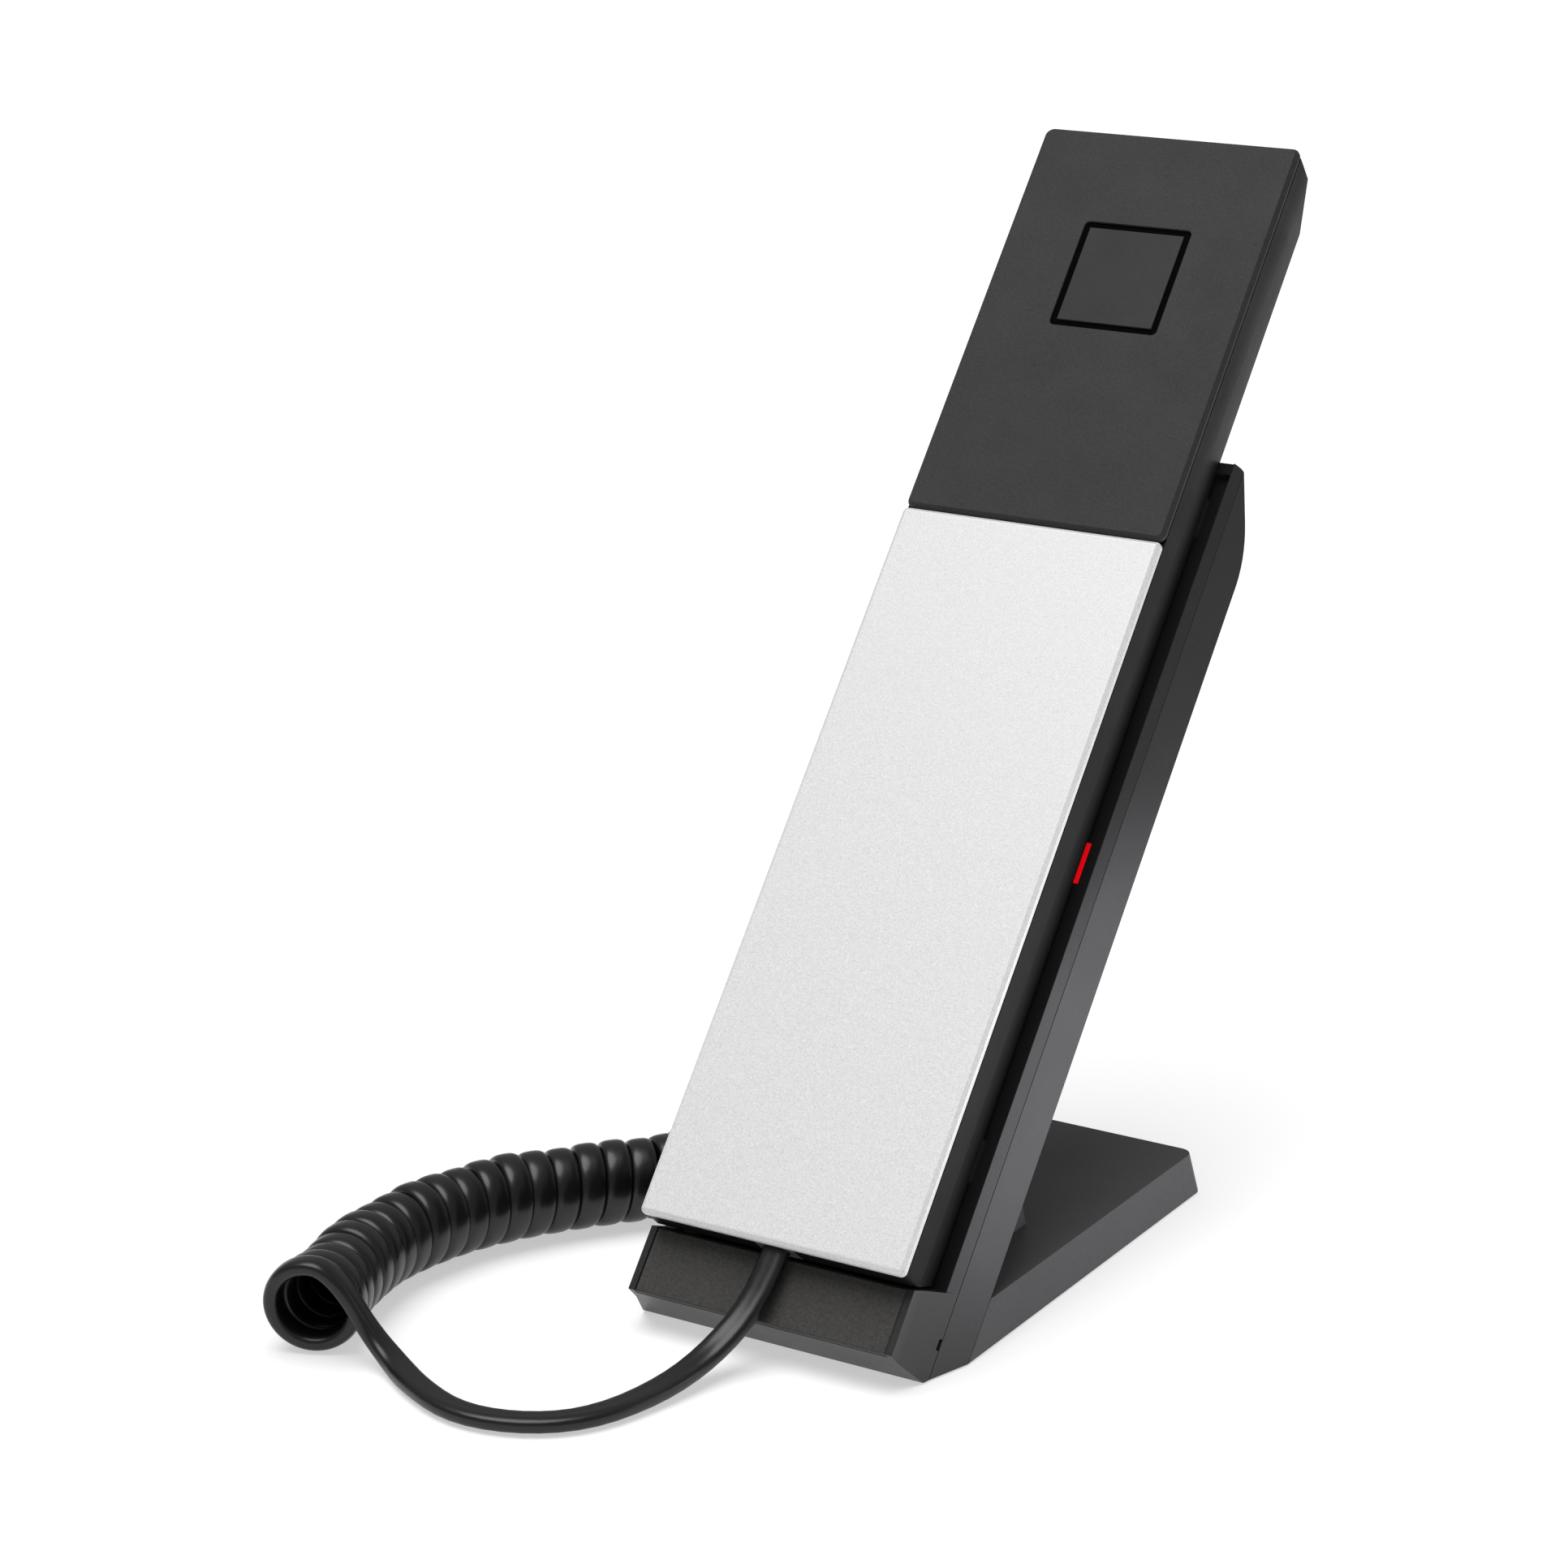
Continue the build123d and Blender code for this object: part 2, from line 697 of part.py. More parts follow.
jack_half = socket_half + jack_wall
for side in (-1, 1):
    housing -= world_box(
        side * jack_across - jack_half - 0.05, side * jack_across + jack_half + 0.05,
        jack_back, 0, jack_low - 1, jack_top + 0.05,
    )
save("jack_housing", housing, leaning=False)

rear_plane = side_profile(
    [(-60, 0), (housing_end + 3.4, 0), (housing_top_y - 0.8, housing_top), (-60, housing_top)], 40
)


def jack_box(side):
    x = side * jack_across
    shell = world_box(x - jack_half, x + jack_half, jack_back, housing_end, jack_low, jack_top)
    shell &= rear_plane
    hollow = world_box(
        x - socket_half, x + socket_half, jack_back + 2, 0,
        jack_height - socket_high, jack_height + socket_high,
    )
    return shell - hollow


save("cord_jack", jack_box(-1), leaning=False)
save("line_jack", jack_box(1), leaning=False)
base_plug = world_box(
    -jack_across - plug_half_width, -jack_across + plug_half_width,
    jack_back + 3, housing_end + 0.8, jack_height - plug_half_height, jack_height + plug_half_height,
)
base_plug = chamfer(base_plug.faces().sort_by(Axis.Y)[0].edges(), 0.5)
save("base_plug", base_plug, leaning=False)

# ---- curly cord -----------------------------------------------------------------------------
tail_exit = [
    tuple(lean_frame.from_local_coords((0, plug_seat - 0.02 - drop, -cord_depth)))
    for drop in (0, cord_drop)
]
save("cord_tail", cord_tube("cord_tail", tail_exit + tail_route, cord_round), leaning=False)
save("cord_coil", cord_tube("cord_coil", coil_route, coil_outer), leaning=False)
lead_end = (-jack_across, housing_end + 0.8, jack_height)
save("cord_lead", cord_tube("cord_lead", lead_route + [lead_end], cord_round), leaning=False)
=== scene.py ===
"""Corded slim telephone on its stand: finishes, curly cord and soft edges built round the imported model."""

import json
import math

import bpy
from mathutils import Matrix, Vector


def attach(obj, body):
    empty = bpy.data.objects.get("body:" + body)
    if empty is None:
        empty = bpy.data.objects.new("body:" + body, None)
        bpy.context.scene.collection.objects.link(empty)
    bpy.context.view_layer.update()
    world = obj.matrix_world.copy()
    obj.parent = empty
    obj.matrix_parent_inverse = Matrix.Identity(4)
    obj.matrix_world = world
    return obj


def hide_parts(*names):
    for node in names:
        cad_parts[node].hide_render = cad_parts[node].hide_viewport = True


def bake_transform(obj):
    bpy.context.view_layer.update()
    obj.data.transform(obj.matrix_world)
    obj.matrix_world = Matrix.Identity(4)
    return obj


bl_info = {
    "name": "Corded telephone",
    "version": (1, 0, 0),
    "blender": (4, 5, 0),
    "location": "View3D > Sidebar > Telephone",
    "description": "Builds the finished pieces, cord, finishes and studio of a slim corded telephone",
    "category": "Object",
}

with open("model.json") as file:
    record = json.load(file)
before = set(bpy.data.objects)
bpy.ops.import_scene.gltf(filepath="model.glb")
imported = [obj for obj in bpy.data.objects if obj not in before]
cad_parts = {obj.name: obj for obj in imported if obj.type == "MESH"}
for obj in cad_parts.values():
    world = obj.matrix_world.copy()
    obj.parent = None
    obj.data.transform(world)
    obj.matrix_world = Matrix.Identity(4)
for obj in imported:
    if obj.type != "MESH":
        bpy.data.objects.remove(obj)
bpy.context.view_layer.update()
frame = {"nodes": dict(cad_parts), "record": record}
MM = 0.001
NODE_BODY = {
    node: body
    for body, nodes in frame["record"]["behaviour"]["bodies"].items()
    for node in nodes
}
LIFT_JOINT = next(
    joint for joint in frame["record"]["behaviour"]["joints"] if joint["name"] == "handset_lift"
)
OUT = Vector(LIFT_JOINT["axis"]).normalized()
TABLE_UP = Vector((0, 0, 1))


# ---- colours and nodes ----------------------------------------------------------------------
def linear(value):
    """Turn an sRGB hex colour into linear RGBA."""
    parts = [int(value[i:i + 2], 16) / 255 for i in (1, 3, 5)]
    return [p / 12.92 if p <= 0.04045 else ((p + 0.055) / 1.055) ** 2.4 for p in parts] + [1.0]


def add_node(tree, kind, links=(), props=(), **inputs):
    """Add one shader node, set its properties and inputs, and link its inputs."""
    node = tree.nodes.new(kind)
    for name, value in dict(props).items():
        setattr(node, name, value)
    for name, value in inputs.items():
        node.inputs[name.replace("_", " ")].default_value = value
    for name, source in dict(links).items():
        tree.links.new(source, node.inputs[name])
    return node


def start_material(name):
    """An empty material with its node tree and object coordinates."""
    material = bpy.data.materials.new(name)
    material.use_nodes = True
    tree = material.node_tree
    tree.nodes.clear()
    place = add_node(tree, "ShaderNodeTexCoord").outputs["Object"]
    return material, tree, place


def finish_material(tree, shader):
    """Send a shader to the surface."""
    add_node(tree, "ShaderNodeOutputMaterial", {"Surface": shader.outputs[0]})


def grain(tree, place, size_mm, detail=3.0, rough=0.6):
    """Noise whose features are about size_mm across."""
    return add_node(
        tree, "ShaderNodeTexNoise", {"Vector": place},
        Scale=1.0 / (size_mm * MM), Detail=detail, Roughness=rough,
    ).outputs["Fac"]


def spread(tree, source, low, high, out_low, out_high):
    """Stretch low to high into out_low to out_high."""
    return add_node(
        tree, "ShaderNodeMapRange", {"Value": source},
        From_Min=low, From_Max=high, To_Min=out_low, To_Max=out_high,
    ).outputs["Result"]


def two_tone(tree, source, first, second):
    """Mix two sRGB hex colours by a pattern."""
    node = add_node(tree, "ShaderNodeMix", props={"data_type": "RGBA"})
    tree.links.new(source, node.inputs[0])
    node.inputs[6].default_value = linear(first)
    node.inputs[7].default_value = linear(second)
    return node.outputs[2]


def bump(tree, source, height_mm, strength=1.0):
    """Raise a pattern by height_mm."""
    return add_node(
        tree, "ShaderNodeBump", {"Height": source}, Strength=strength, Distance=height_mm * MM,
    ).outputs["Normal"]


def moulded_abs(name, colour, shade, rough, grain_mm, height_mm, shine=0.5):
    """Moulded ABS: dull dark plastic with the mould's fine spark-eroded grain and faint handling marks."""
    material, tree, place = start_material(name)
    fine = grain(tree, place, grain_mm, 4.0)
    handled = grain(tree, place, 14.0, 5.0, 0.7)
    tint = two_tone(tree, spread(tree, fine, 0.35, 0.65, 0.0, 1.0), colour, shade)
    gloss = spread(tree, handled, 0.3, 0.7, rough - 0.04, rough + 0.04)
    shader = add_node(
        tree, "ShaderNodeBsdfPrincipled",
        {"Base Color": tint, "Roughness": gloss, "Normal": bump(tree, fine, height_mm)},
        IOR=1.54, Specular_IOR_Level=shine,
    )
    finish_material(tree, shader)
    return material


def pearl_lacquer():
    """Pearl lacquer over ABS: pale and softly sparkling; its flakes are drawn coarser than real."""
    material, tree, place = start_material("Pearl lacquer on ABS")
    flakes = grain(tree, place, 0.3, 1.0, 0.5)
    cloud = grain(tree, place, 0.8, 2.0, 0.5)
    both = add_node(
        tree, "ShaderNodeMath", {0: flakes, 1: spread(tree, cloud, 0.0, 1.0, 0.4, 0.6)}, {"operation": "ADD"}
    ).outputs[0]
    tint = two_tone(tree, spread(tree, both, 0.7, 1.3, 0.0, 1.0), "#CBCBCC", "#E6E6E6")
    gloss = spread(tree, flakes, 0.35, 0.65, 0.36, 0.5)
    shader = add_node(
        tree, "ShaderNodeBsdfPrincipled",
        {"Base Color": tint, "Roughness": gloss, "Normal": bump(tree, flakes, 0.012)},
        Metallic=0.12, IOR=1.5, Coat_Weight=0.25, Coat_Roughness=0.3,
    )
    finish_material(tree, shader)
    return material


def glossy_pvc():
    """Extruded glossy PVC jacket: nearly black, with long soft waves and faint finger marks in its gloss."""
    material, tree, place = start_material("Extruded PVC jacket")
    waves = grain(tree, place, 3.0, 2.0)
    marks = grain(tree, place, 9.0, 4.0, 0.65)
    tint = two_tone(tree, marks, "#0A0A0C", "#121214")
    gloss = spread(tree, marks, 0.3, 0.7, 0.28, 0.37)
    shader = add_node(
        tree, "ShaderNodeBsdfPrincipled",
        {"Base Color": tint, "Roughness": gloss, "Normal": bump(tree, waves, 0.05, 0.6)},
        IOR=1.53, Specular_IOR_Level=0.35, Coat_Weight=0.1, Coat_Roughness=0.16,
    )
    finish_material(tree, shader)
    return material


def rubber(name, colour, shade, rough, shine=0.5):
    """Moulded rubber: dull, with a dusty bloom."""
    material, tree, place = start_material(name)
    dust = grain(tree, place, 1.5, 5.0)
    tint = two_tone(tree, dust, colour, shade)
    shader = add_node(
        tree, "ShaderNodeBsdfPrincipled",
        {"Base Color": tint, "Normal": bump(tree, grain(tree, place, 0.25), 0.02)},
        Roughness=rough, IOR=1.52, Specular_IOR_Level=shine,
    )
    finish_material(tree, shader)
    return material


def zinc_steel():
    """Zinc-plated steel: rolled streaks along the sheet and patchy passivation."""
    material, tree, place = start_material("Zinc-plated steel")
    stretch = add_node(tree, "ShaderNodeMapping", {"Vector": place}, Scale=(1.0, 0.05, 0.05)).outputs[0]
    streaks = grain(tree, stretch, 0.6, 3.0)
    patches = grain(tree, place, 6.0, 4.0)
    tint = two_tone(tree, patches, "#A9ABAC", "#C6C5BF")
    gloss = spread(tree, streaks, 0.3, 0.7, 0.28, 0.42)
    shader = add_node(
        tree, "ShaderNodeBsdfPrincipled",
        {"Base Color": tint, "Roughness": gloss, "Normal": bump(tree, streaks, 0.01)}, Metallic=1.0,
    )
    finish_material(tree, shader)
    return material


def glass_epoxy():
    """Glass-epoxy circuit board: woven glass under green solder resist."""
    material, tree, place = start_material("Glass-epoxy board")
    weave = add_node(
        tree, "ShaderNodeTexWave", {"Vector": place}, {"wave_type": "BANDS"},
        Scale=1.0 / (1.2 * MM), Distortion=0.4,
    ).outputs["Fac"]
    tint = two_tone(tree, weave, "#0E4A26", "#16612F")
    shader = add_node(
        tree, "ShaderNodeBsdfPrincipled",
        {"Base Color": tint, "Normal": bump(tree, weave, 0.02, 0.5)}, Roughness=0.32, IOR=1.55,
    )
    finish_material(tree, shader)
    return material


def clear_polycarbonate():
    """Clear polycarbonate of the modular plugs: faint grey tint, moulded flow lines."""
    material, tree, place = start_material("Clear polycarbonate")
    flow = grain(tree, place, 2.0, 2.0)
    shader = add_node(
        tree, "ShaderNodeBsdfPrincipled", {"Normal": bump(tree, flow, 0.03, 0.4)},
        Base_Color=linear("#DADDE0"), Roughness=0.08, IOR=1.585, Transmission_Weight=0.85,
    )
    finish_material(tree, shader)
    return material


def lit_lens(strength):
    """Red polycarbonate light window, lit from behind, a little uneven."""
    material, tree, place = start_material("Lit red polycarbonate")
    cloud = grain(tree, place, 1.6, 2.0)
    tint = two_tone(tree, cloud, "#C60208", "#DE0A12")
    shader = add_node(
        tree, "ShaderNodeBsdfPrincipled",
        {"Base Color": tint, "Emission Color": tint}, Roughness=0.35, IOR=1.58, Emission_Strength=strength,
    )
    finish_material(tree, shader)
    return material


def white_table():
    """Matt white table top, with a trace of paper-like tooth."""
    material, tree, place = start_material("White table top")
    tooth = grain(tree, place, 1.2, 4.0)
    tint = two_tone(tree, tooth, "#BEBEBE", "#C4C4C4")
    shader = add_node(
        tree, "ShaderNodeBsdfPrincipled", {"Base Color": tint}, Emission_Color=linear("#FFFFFF"),
        Roughness=0.7, Specular_IOR_Level=0.1, Emission_Strength=bpy.context.scene.phone_studio.table_glow,
    )
    finish_material(tree, shader)
    return material


# ---- mesh helpers ---------------------------------------------------------------------------
def only(piece):
    """Select one piece alone and make it active."""
    if bpy.context.mode != "OBJECT":
        bpy.ops.object.mode_set(mode="OBJECT")
    bpy.ops.object.select_all(action="DESELECT")
    piece.select_set(True)
    bpy.context.view_layer.objects.active = piece
    return piece


def own_mesh(node, name):
    """A separate object with a merged copy of a node's mesh."""
    mesh = frame["nodes"][node].data.copy()
    piece = bpy.data.objects.new(name, mesh)
    bpy.context.collection.objects.link(piece)
    only(piece)
    bpy.ops.mesh.customdata_custom_splitnormals_clear()
    bpy.ops.object.mode_set(mode="EDIT")
    bpy.ops.mesh.select_all(action="SELECT")
    bpy.ops.mesh.remove_doubles(threshold=1e-6)
    bpy.ops.mesh.dissolve_limited(angle_limit=math.radians(0.6))
    bpy.ops.object.mode_set(mode="OBJECT")
    return piece


def soften(piece, width_mm, segments=3, angle=28):
    """Round a piece's edges the way a mould leaves them."""
    only(piece)
    bevel = piece.modifiers.new("Edges", "BEVEL")
    bevel.width = width_mm * MM
    bevel.segments = segments
    bevel.limit_method = "ANGLE"
    bevel.angle_limit = math.radians(angle)
    bevel.use_clamp_overlap = True
    bpy.ops.object.modifier_apply(modifier=bevel.name)
    bpy.ops.object.shade_smooth_by_angle(angle=math.radians(40))
    level = piece.modifiers.new("Flat faces stay flat", "WEIGHTED_NORMAL")
    level.weight = 80
    level.keep_sharp = True
    bpy.ops.object.modifier_apply(modifier=level.name)
    return piece


def dress(piece, material):
    """Give a whole piece one material."""
    piece.data.materials.clear()
    piece.data.materials.append(material)


def finished_copy(node, width_mm, material, segments=3):
    """Replace a node by its own shape with softened edges and a real finish."""
    piece = soften(own_mesh(node, f"{node}_finished"), width_mm, segments)
    dress(piece, material)
    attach(piece, NODE_BODY[node])
    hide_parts(node)
    return piece


def node_finish(node, material):
    """Give a node that stays as it is a real finish."""
    shown = frame["nodes"][node]
    for slot in shown.material_slots:
        slot.material = material


# ---- sizes and colours ----------------------------------------------------------------------
class PhoneCordSizes(bpy.types.PropertyGroup):
    width: bpy.props.FloatProperty(
        name="Cord width", description="Width of the flat jacket", default=4.9 * MM, unit="LENGTH")
    thickness: bpy.props.FloatProperty(
        name="Cord thickness", description="Thickness of the flat jacket", default=2.8 * MM, unit="LENGTH")
    crease: bpy.props.FloatProperty(
        name="Crease", description="Depth of the groove between its halves", default=0.45 * MM, unit="LENGTH")
    coil_outer: bpy.props.FloatProperty(
        name="Coil diameter", description="Outside of the curly part", default=15.5 * MM, unit="LENGTH")
    first_turn: bpy.props.FloatProperty(
        name="First turn", description="Outside of the loosened first turn", default=17.4 * MM, unit="LENGTH")
    pitch: bpy.props.FloatProperty(
        name="Pitch", description="Distance from turn to turn", default=4.95 * MM, unit="LENGTH")
    length: bpy.props.FloatProperty(
        name="Cord length", description="Length of the cord if pulled straight", default=1.38, unit="LENGTH")


def hex_colour(name, default):
    """A colour kept as an sRGB hex value."""
    return bpy.props.StringProperty(name=name, description=f"{name}, sRGB hex", default=default)


class PhoneColours(bpy.types.PropertyGroup):
    handset: hex_colour("Handset shell", "#151516")
    handset_shade: hex_colour("Handset shell, darker grain", "#111112")
    plate: hex_colour("Upper plate", "#2B2A29")
    plate_shade: hex_colour("Upper plate, darker grain", "#222121")
    badge: hex_colour("Badge", "#272727")
    badge_shade: hex_colour("Badge, darker grain", "#242424")
    cradle: hex_colour("Cradle", "#29292A")
    cradle_shade: hex_colour("Cradle, darker grain", "#222223")
    panel: hex_colour("Front panel", "#403F3C")
    panel_shade: hex_colour("Front panel, darker grain", "#323130")
    foot: hex_colour("Foot", "#4C4C4D")
    foot_shade: hex_colour("Foot, darker grain", "#444445")


class PhoneStudio(bpy.types.PropertyGroup):
    table_glow: bpy.props.FloatProperty(
        name="Table glow", description="Lift of the white table", default=0.51, min=0.0)
    sky: bpy.props.FloatProperty(
        name="Room light", description="Strength of the even room light", default=0.32, min=0.0)
    key: bpy.props.FloatProperty(
        name="Key light", description="Strength of the broad overhead light", default=2.5, min=0.0)
    side: bpy.props.FloatProperty(
        name="Side light", description="Power of the low side panel", default=0.08, unit="POWER")
    lamp_glow: bpy.props.FloatProperty(
        name="Message light", description="Glow of the red window", default=0.85, min=0.0)


# ---- cord -----------------------------------------------------------------------------------
# The part's cord routes, in metres, eased where the coil begins and ends.
TAIL_ROUTE = [
    (0.0, -0.066609, 0.018349),
    (0.0, -0.072080, 0.011713),
    (-0.0034, -0.0810, 0.0044),
    (-0.0054, -0.0935, 0.0020),
    (-0.0094, -0.1082, 0.0018),
    (-0.0178, -0.1158, 0.0018),
    (-0.0292, -0.1182, 0.0018),
    (-0.0410, -0.1130, 0.0018),
    (-0.0486, -0.1078, 0.0019),
    (-0.0545, -0.1065, 0.0055),
    (-0.0581, -0.1080, 0.0124),
]
COIL_ROUTE = [
    (-0.0638, -0.1100, 0.0080),
    (-0.0714, -0.0890, 0.0080),
    (-0.0712, -0.0700, 0.0080),
    (-0.0660, -0.0535, 0.0080),
    (-0.0560, -0.0385, 0.0080),
    (-0.0446, -0.0250, 0.0080),
    (-0.0412, -0.0070, 0.0080),
    (-0.0416, 0.0120, 0.0080),
    (-0.0408, 0.0300, 0.0080),
]
LEAD_ROUTE = [
    (-0.0372, 0.0306, 0.0022),
    (-0.0352, 0.0340, 0.0025),
    (-0.0346, 0.0430, 0.0028),
    (-0.0262, 0.0545, 0.0080),
    (-0.0145, 0.0450, 0.0136),
    (-0.0098, 0.0280, 0.0132),
    (-0.0090, 0.0100, 0.0126),
    (-0.0092, -0.0050, 0.0134),
    (-0.0090, -0.0145, 0.0140),
]


def nurbs_line(points, name, resolution):
    """Points along the smooth NURBS line that has these control points."""
    curve = bpy.data.curves.new(name, "CURVE")
    curve.dimensions = "3D"
    curve.resolution_u = resolution
    spline = curve.splines.new("NURBS")
    spline.points.add(len(points) - 1)
    for spot, point in zip(spline.points, points):
        spot.co = (*point, 1.0)
    spline.order_u = 3
    spline.use_endpoint_u = True
    holder = bpy.data.objects.new(name, curve)
    bpy.context.collection.objects.link(holder)
    bpy.context.view_layer.update()
    mesh = bpy.data.meshes.new_from_object(holder)
    line = [vertex.co.copy() for vertex in mesh.vertices]
    bpy.data.objects.remove(holder)
    bpy.data.curves.remove(curve)
    bpy.data.meshes.remove(mesh)
    return line


def measure(line):
    """Running length at each point of a line."""
    total = [0.0]
    for before, here in zip(line, line[1:]):
        total.append(total[-1] + (here - before).length)
    return total


def at_length(line, total, length):
    """Place and direction at a running length."""
    index = 1
    while index < len(total) - 1 and total[index] < length:
        index += 1
    step = total[index] - total[index - 1]
    share = (length - total[index - 1]) / step
    direction = (line[index] - line[index - 1]).normalized()
    return line[index - 1].lerp(line[index], share), direction


TURN_POINTS = 16
START_ANGLE = math.radians(72)
LOOSE_TURNS = 1.6


def helix_points(sizes):
    """Control points of the wound part, turn after turn along the coil's middle line."""
    axis = nurbs_line(COIL_ROUTE, "coil_axis", 24)
    total = measure(axis)
    # the last turn ends at the bottom of the coil, heading for the stand
    steps = int(total[-1] / sizes.pitch * TURN_POINTS) - 7
    inner = sizes.coil_outer / 2 - sizes.thickness / 2
    wide = sizes.first_turn / 2 - sizes.thickness / 2
    points = []
    for step in range(steps + 1):
        place, direction = at_length(axis, total, total[-1] * step / steps)
        turn = 2 * math.pi * step / TURN_POINTS + START_ANGLE
        side = direction.cross(TABLE_UP).normalized()
        rise = side.cross(direction)
        turns_in = step / TURN_POINTS
        loosened = max(0.0, 1.0 - turns_in / LOOSE_TURNS) ** 1.2
        radius = inner + (wide - inner) * loosened
        # the turns of a used cord are a little uneven
        radius += 0.12 * MM * math.sin(turns_in * 1.7) + 0.1 * MM * math.sin(turns_in * 0.61 + 1)
        lift = radius - inner
        radial = side * math.cos(turn) + rise * math.sin(turn)
        point = place + radial * radius + rise * lift
        points.append((point, radial))
    return points


SECTION_POINTS = 24
LINE_STEPS = 4
GROOVE_FADE = 3


def flat_section(sizes, groove_share):
    """Section of the flat jacket, (across, thick): rounded, with a groove between its two halves."""
    section = []
    for index in range(SECTION_POINTS):
        angle = 2 * math.pi * (index + 0.5) / SECTION_POINTS
        share_x = math.copysign(abs(math.cos(angle)) ** 0.8, math.cos(angle))
        share_y = math.copysign(abs(math.sin(angle)) ** 0.65, math.sin(angle))
        groove = 1 - groove_share * sizes.crease / (sizes.thickness / 2) * math.exp(-(share_x / 0.16) ** 2)
        section.append((share_x * sizes.width / 2, share_y * sizes.thickness / 2 * groove))
    return section


class PHONE_OT_cord(bpy.types.Operator):
    """Lay the flat cord: tail from the handset, the curly part and the lead into the stand"""
    bl_idname = "phone.cord"
    bl_label = "Curly cord"

    def execute(self, context):
        sizes = context.scene.phone_cord
        helix = helix_points(sizes)
        control = [Vector(point) for point in TAIL_ROUTE]
        control += [point for point, radial in helix]
        control += [Vector(point) for point in LEAD_ROUTE]
        # the thin direction of the jacket at each control point: it twists as it climbs into the coil
        climb = Vector((0.7, 0.25, 0.7)).normalized()
        thin = [OUT, OUT, (OUT + TABLE_UP).normalized()] + [TABLE_UP] * 5
        thin += [(TABLE_UP + climb).normalized(), climb, climb]
        thin += [radial for point, radial in helix]
        thin += [-TABLE_UP] * len(LEAD_ROUTE)
        line = nurbs_line(control, "cord_line", LINE_STEPS)
        share = (len(control) - 1) / (len(line) - 1)
        tail_share = len(TAIL_ROUTE)  # the groove fades out where the tail ends
        verts = []
        for index, point in enumerate(line):
            ahead = line[min(index + 1, len(line) - 1)]
            behind = line[max(index - 1, 0)]
            along = (ahead - behind).normalized()
            spot = index * share
            low = min(int(spot), len(thin) - 2)
            flat = thin[low].lerp(thin[low + 1], spot - low)
            flat = (flat - along * flat.dot(along)).normalized()
            wide = along.cross(flat)
            groove = min(1.0, max(0.15, (tail_share - spot) / GROOVE_FADE))
            verts += [point + wide * a + flat * b for a, b in flat_section(sizes, groove)]
        count = SECTION_POINTS
        faces = []
        for ring in range(len(line) - 1):
            for k in range(count):
                nxt = (k + 1) % count
                faces.append((
                    ring * count + k, ring * count + nxt,
                    (ring + 1) * count + nxt, (ring + 1) * count + k,
                ))
        faces.append(tuple(reversed(range(count))))
        faces.append(tuple(range(len(verts) - count, len(verts))))
        mesh = bpy.data.meshes.new("curly_cord")
        mesh.from_pydata(verts, [], faces)
        cord = bpy.data.objects.new("curly_cord", mesh)
        context.collection.objects.link(cord)
        only(cord)
        bpy.ops.object.mode_set(mode="EDIT")
        bpy.ops.mesh.select_all(action="SELECT")
        bpy.ops.mesh.normals_make_consistent(inside=False)
        bpy.ops.object.mode_set(mode="OBJECT")
        bpy.ops.object.shade_smooth_by_angle(angle=math.radians(50))
        dress(cord, glossy_pvc())
        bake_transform(cord)
        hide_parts("cord_tail", "cord_coil", "cord_lead")
        return {"FINISHED"}


# ---- bodies ---------------------------------------------------------------------------------
class PHONE_OT_handset(bpy.types.Operator):
    """Finish the handset's covers, shell, badge and the badge's gasket"""
    bl_idname = "phone.handset"
    bl_label = "Handset"

    def execute(self, context):
        colours = context.scene.phone_colours
        plate = moulded_abs(
            "Spark-textured ABS", colours.plate, colours.plate_shade, rough=0.6, grain_mm=0.5, height_mm=0.05,
            shine=0.3)
        shell = moulded_abs(
            "Matt ABS, handset", colours.handset, colours.handset_shade, rough=0.4, grain_mm=0.3,
            height_mm=0.02, shine=0.05)
        badge = moulded_abs(
            "Satin ABS badge", colours.badge, colours.badge_shade, rough=0.5, grain_mm=0.8, height_mm=0.008,
            shine=0.2)
        finished_copy("handset_upper_plate", 0.12, plate)
        finished_copy("handset_lower_cover", 0.2, pearl_lacquer())
        finished_copy("handset_back_shell", 0.12, shell)
        finished_copy("badge_plate", 0.1, badge)
        # the gasket is set near-black, far darker than real rubber: partly its own black, partly painted
        # shade that makes the groove round the badge read black
        node_finish("badge_gasket", rubber("Black rubber with painted groove shade", "#010101", "#030303", 0.9, 0.05))
        return {"FINISHED"}


class PHONE_OT_stand(bpy.types.Operator):
    """Finish the cradle, front panel, foot and jack housing"""
    bl_idname = "phone.stand"
    bl_label = "Stand"

    def execute(self, context):
        colours = context.scene.phone_colours
        cradle = moulded_abs(
            "Matt ABS, cradle", colours.cradle, colours.cradle_shade, rough=0.33, grain_mm=0.3,
            height_mm=0.01, shine=0.26)
        foot = moulded_abs(
            "Matt ABS, foot", colours.foot, colours.foot_shade, rough=0.45, grain_mm=0.3, height_mm=0.02,
            shine=0.06)
        panel = moulded_abs(
            "Spark-textured ABS, panel", colours.panel, colours.panel_shade, rough=0.6, grain_mm=0.5,
            height_mm=0.05, shine=0.25)
        finished_copy("cradle_front_shell", 0.07, cradle)
        finished_copy("cradle_rear_shell", 0.07, cradle)
        finished_copy("front_panel", 0.05, panel)
        finished_copy("foot_shell", 0.25, foot)
        finished_copy("jack_housing", 0.3, foot)
        return {"FINISHED"}


